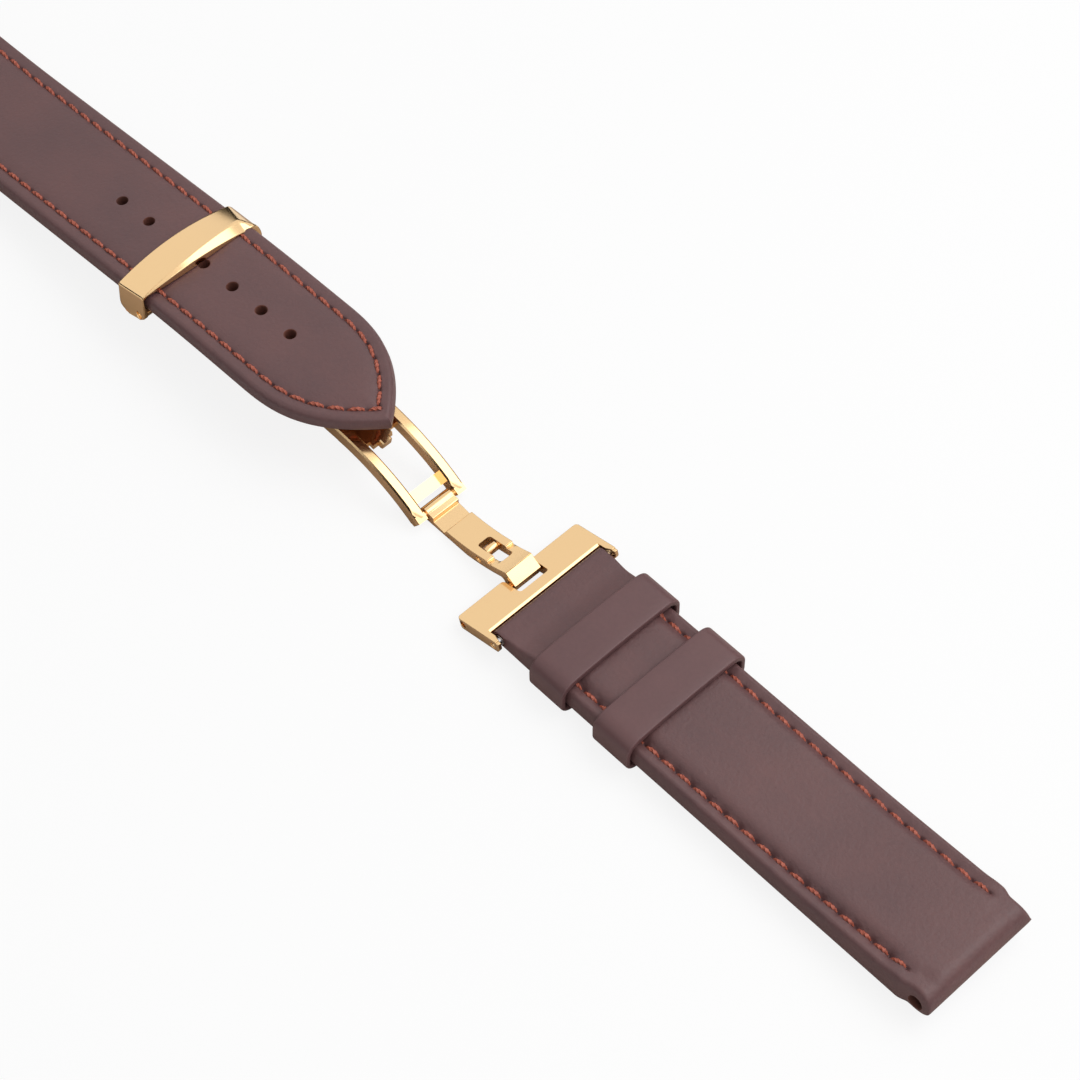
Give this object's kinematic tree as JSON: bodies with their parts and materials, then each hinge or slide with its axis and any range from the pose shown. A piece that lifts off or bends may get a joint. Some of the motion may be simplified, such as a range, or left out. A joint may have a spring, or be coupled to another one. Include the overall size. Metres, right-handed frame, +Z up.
{
  "type": "watch strap",
  "caption": "Two-piece padded leather watch strap with a folding clasp: hinged cover over the pierced half, folding blade, end bracket on a spring bar, and two keepers.",
  "frame": {"origin": "middle of the open strap's outline, on the surface that it lies on", "axes": "+X along the strap towards the short half's lug end, +Y across it, +Z up, out of the strap's face"},
  "size_m": [0.2174, 0.0204, 0.0111],
  "materials": {
    "leather": "smooth mauve-brown calf leather, satin",
    "lining": "cognac-brown lining leather, matt",
    "padding": "felt padding",
    "gold": "polished rose-gold plating",
    "steel": "bright steel"
  },
  "bodies": {
    "frame_and_pierced_half": {"clasp_frame": "gold", "frame_pin": "gold", "cover_pin": "gold", "strap_peg": "gold", "long_upper_leather": "leather", "long_padding": "padding", "long_lining": "lining"},
    "cover": {"cover_bridge": "gold"},
    "blade": {"fold_blade": "gold", "latch_pin": "gold"},
    "bracket": {"end_bracket": "gold", "bracket_pin": "gold", "spring_bar_tube": "steel", "spring_bar_spring": "steel"},
    "bar_tip_left": {"spring_bar_tip_left": "steel"},
    "bar_tip_right": {"spring_bar_tip_right": "steel"},
    "short_half": {"short_upper_leather": "leather", "short_padding": "padding", "short_lining": "lining", "fixed_keeper": "leather"},
    "sliding_keeper": {"free_keeper": "leather"}
  },
  "joints": [
    {"name": "cover_hinge", "type": "hinge", "parent": "frame_and_pierced_half", "child": "cover", "pos_m": [-0.02679, 0, 0.00605], "axis": [0, 1, 0], "range_deg": [0, 14]},
    {"name": "blade_fold", "type": "hinge", "parent": "frame_and_pierced_half", "child": "blade", "pos_m": [0.01881, 0, 0.001], "axis": [0, -1, 0], "range_deg": [0, 115]},
    {"name": "bracket_fold", "type": "hinge", "parent": "blade", "child": "bracket", "pos_m": [0.03416, 0, 0.0013], "axis": [0, -1, 0], "range_deg": [-126, 10]},
    {"name": "short_half_swing", "type": "hinge", "parent": "bracket", "child": "short_half", "pos_m": [0.03959, 0, 0.0027], "axis": [0, -1, 0], "range_deg": [-45, 60]},
    {"name": "keeper_slide", "type": "slide", "parent": "short_half", "child": "sliding_keeper", "axis": [1, 0, 0], "range_m": [-0.0045, 0.022]},
    {"name": "bar_tip_left_press", "type": "slide", "parent": "bracket", "child": "bar_tip_left", "axis": [0, 1, 0], "range_m": [0, 0.001], "stiffness_N_per_m": 120, "springref_m": -0.0005, "deforming": ["spring_bar_spring"]},
    {"name": "bar_tip_right_press", "type": "slide", "parent": "bracket", "child": "bar_tip_right", "axis": [0, -1, 0], "range_m": [0, 0.001], "stiffness_N_per_m": 120, "springref_m": -0.0005}
  ]
}
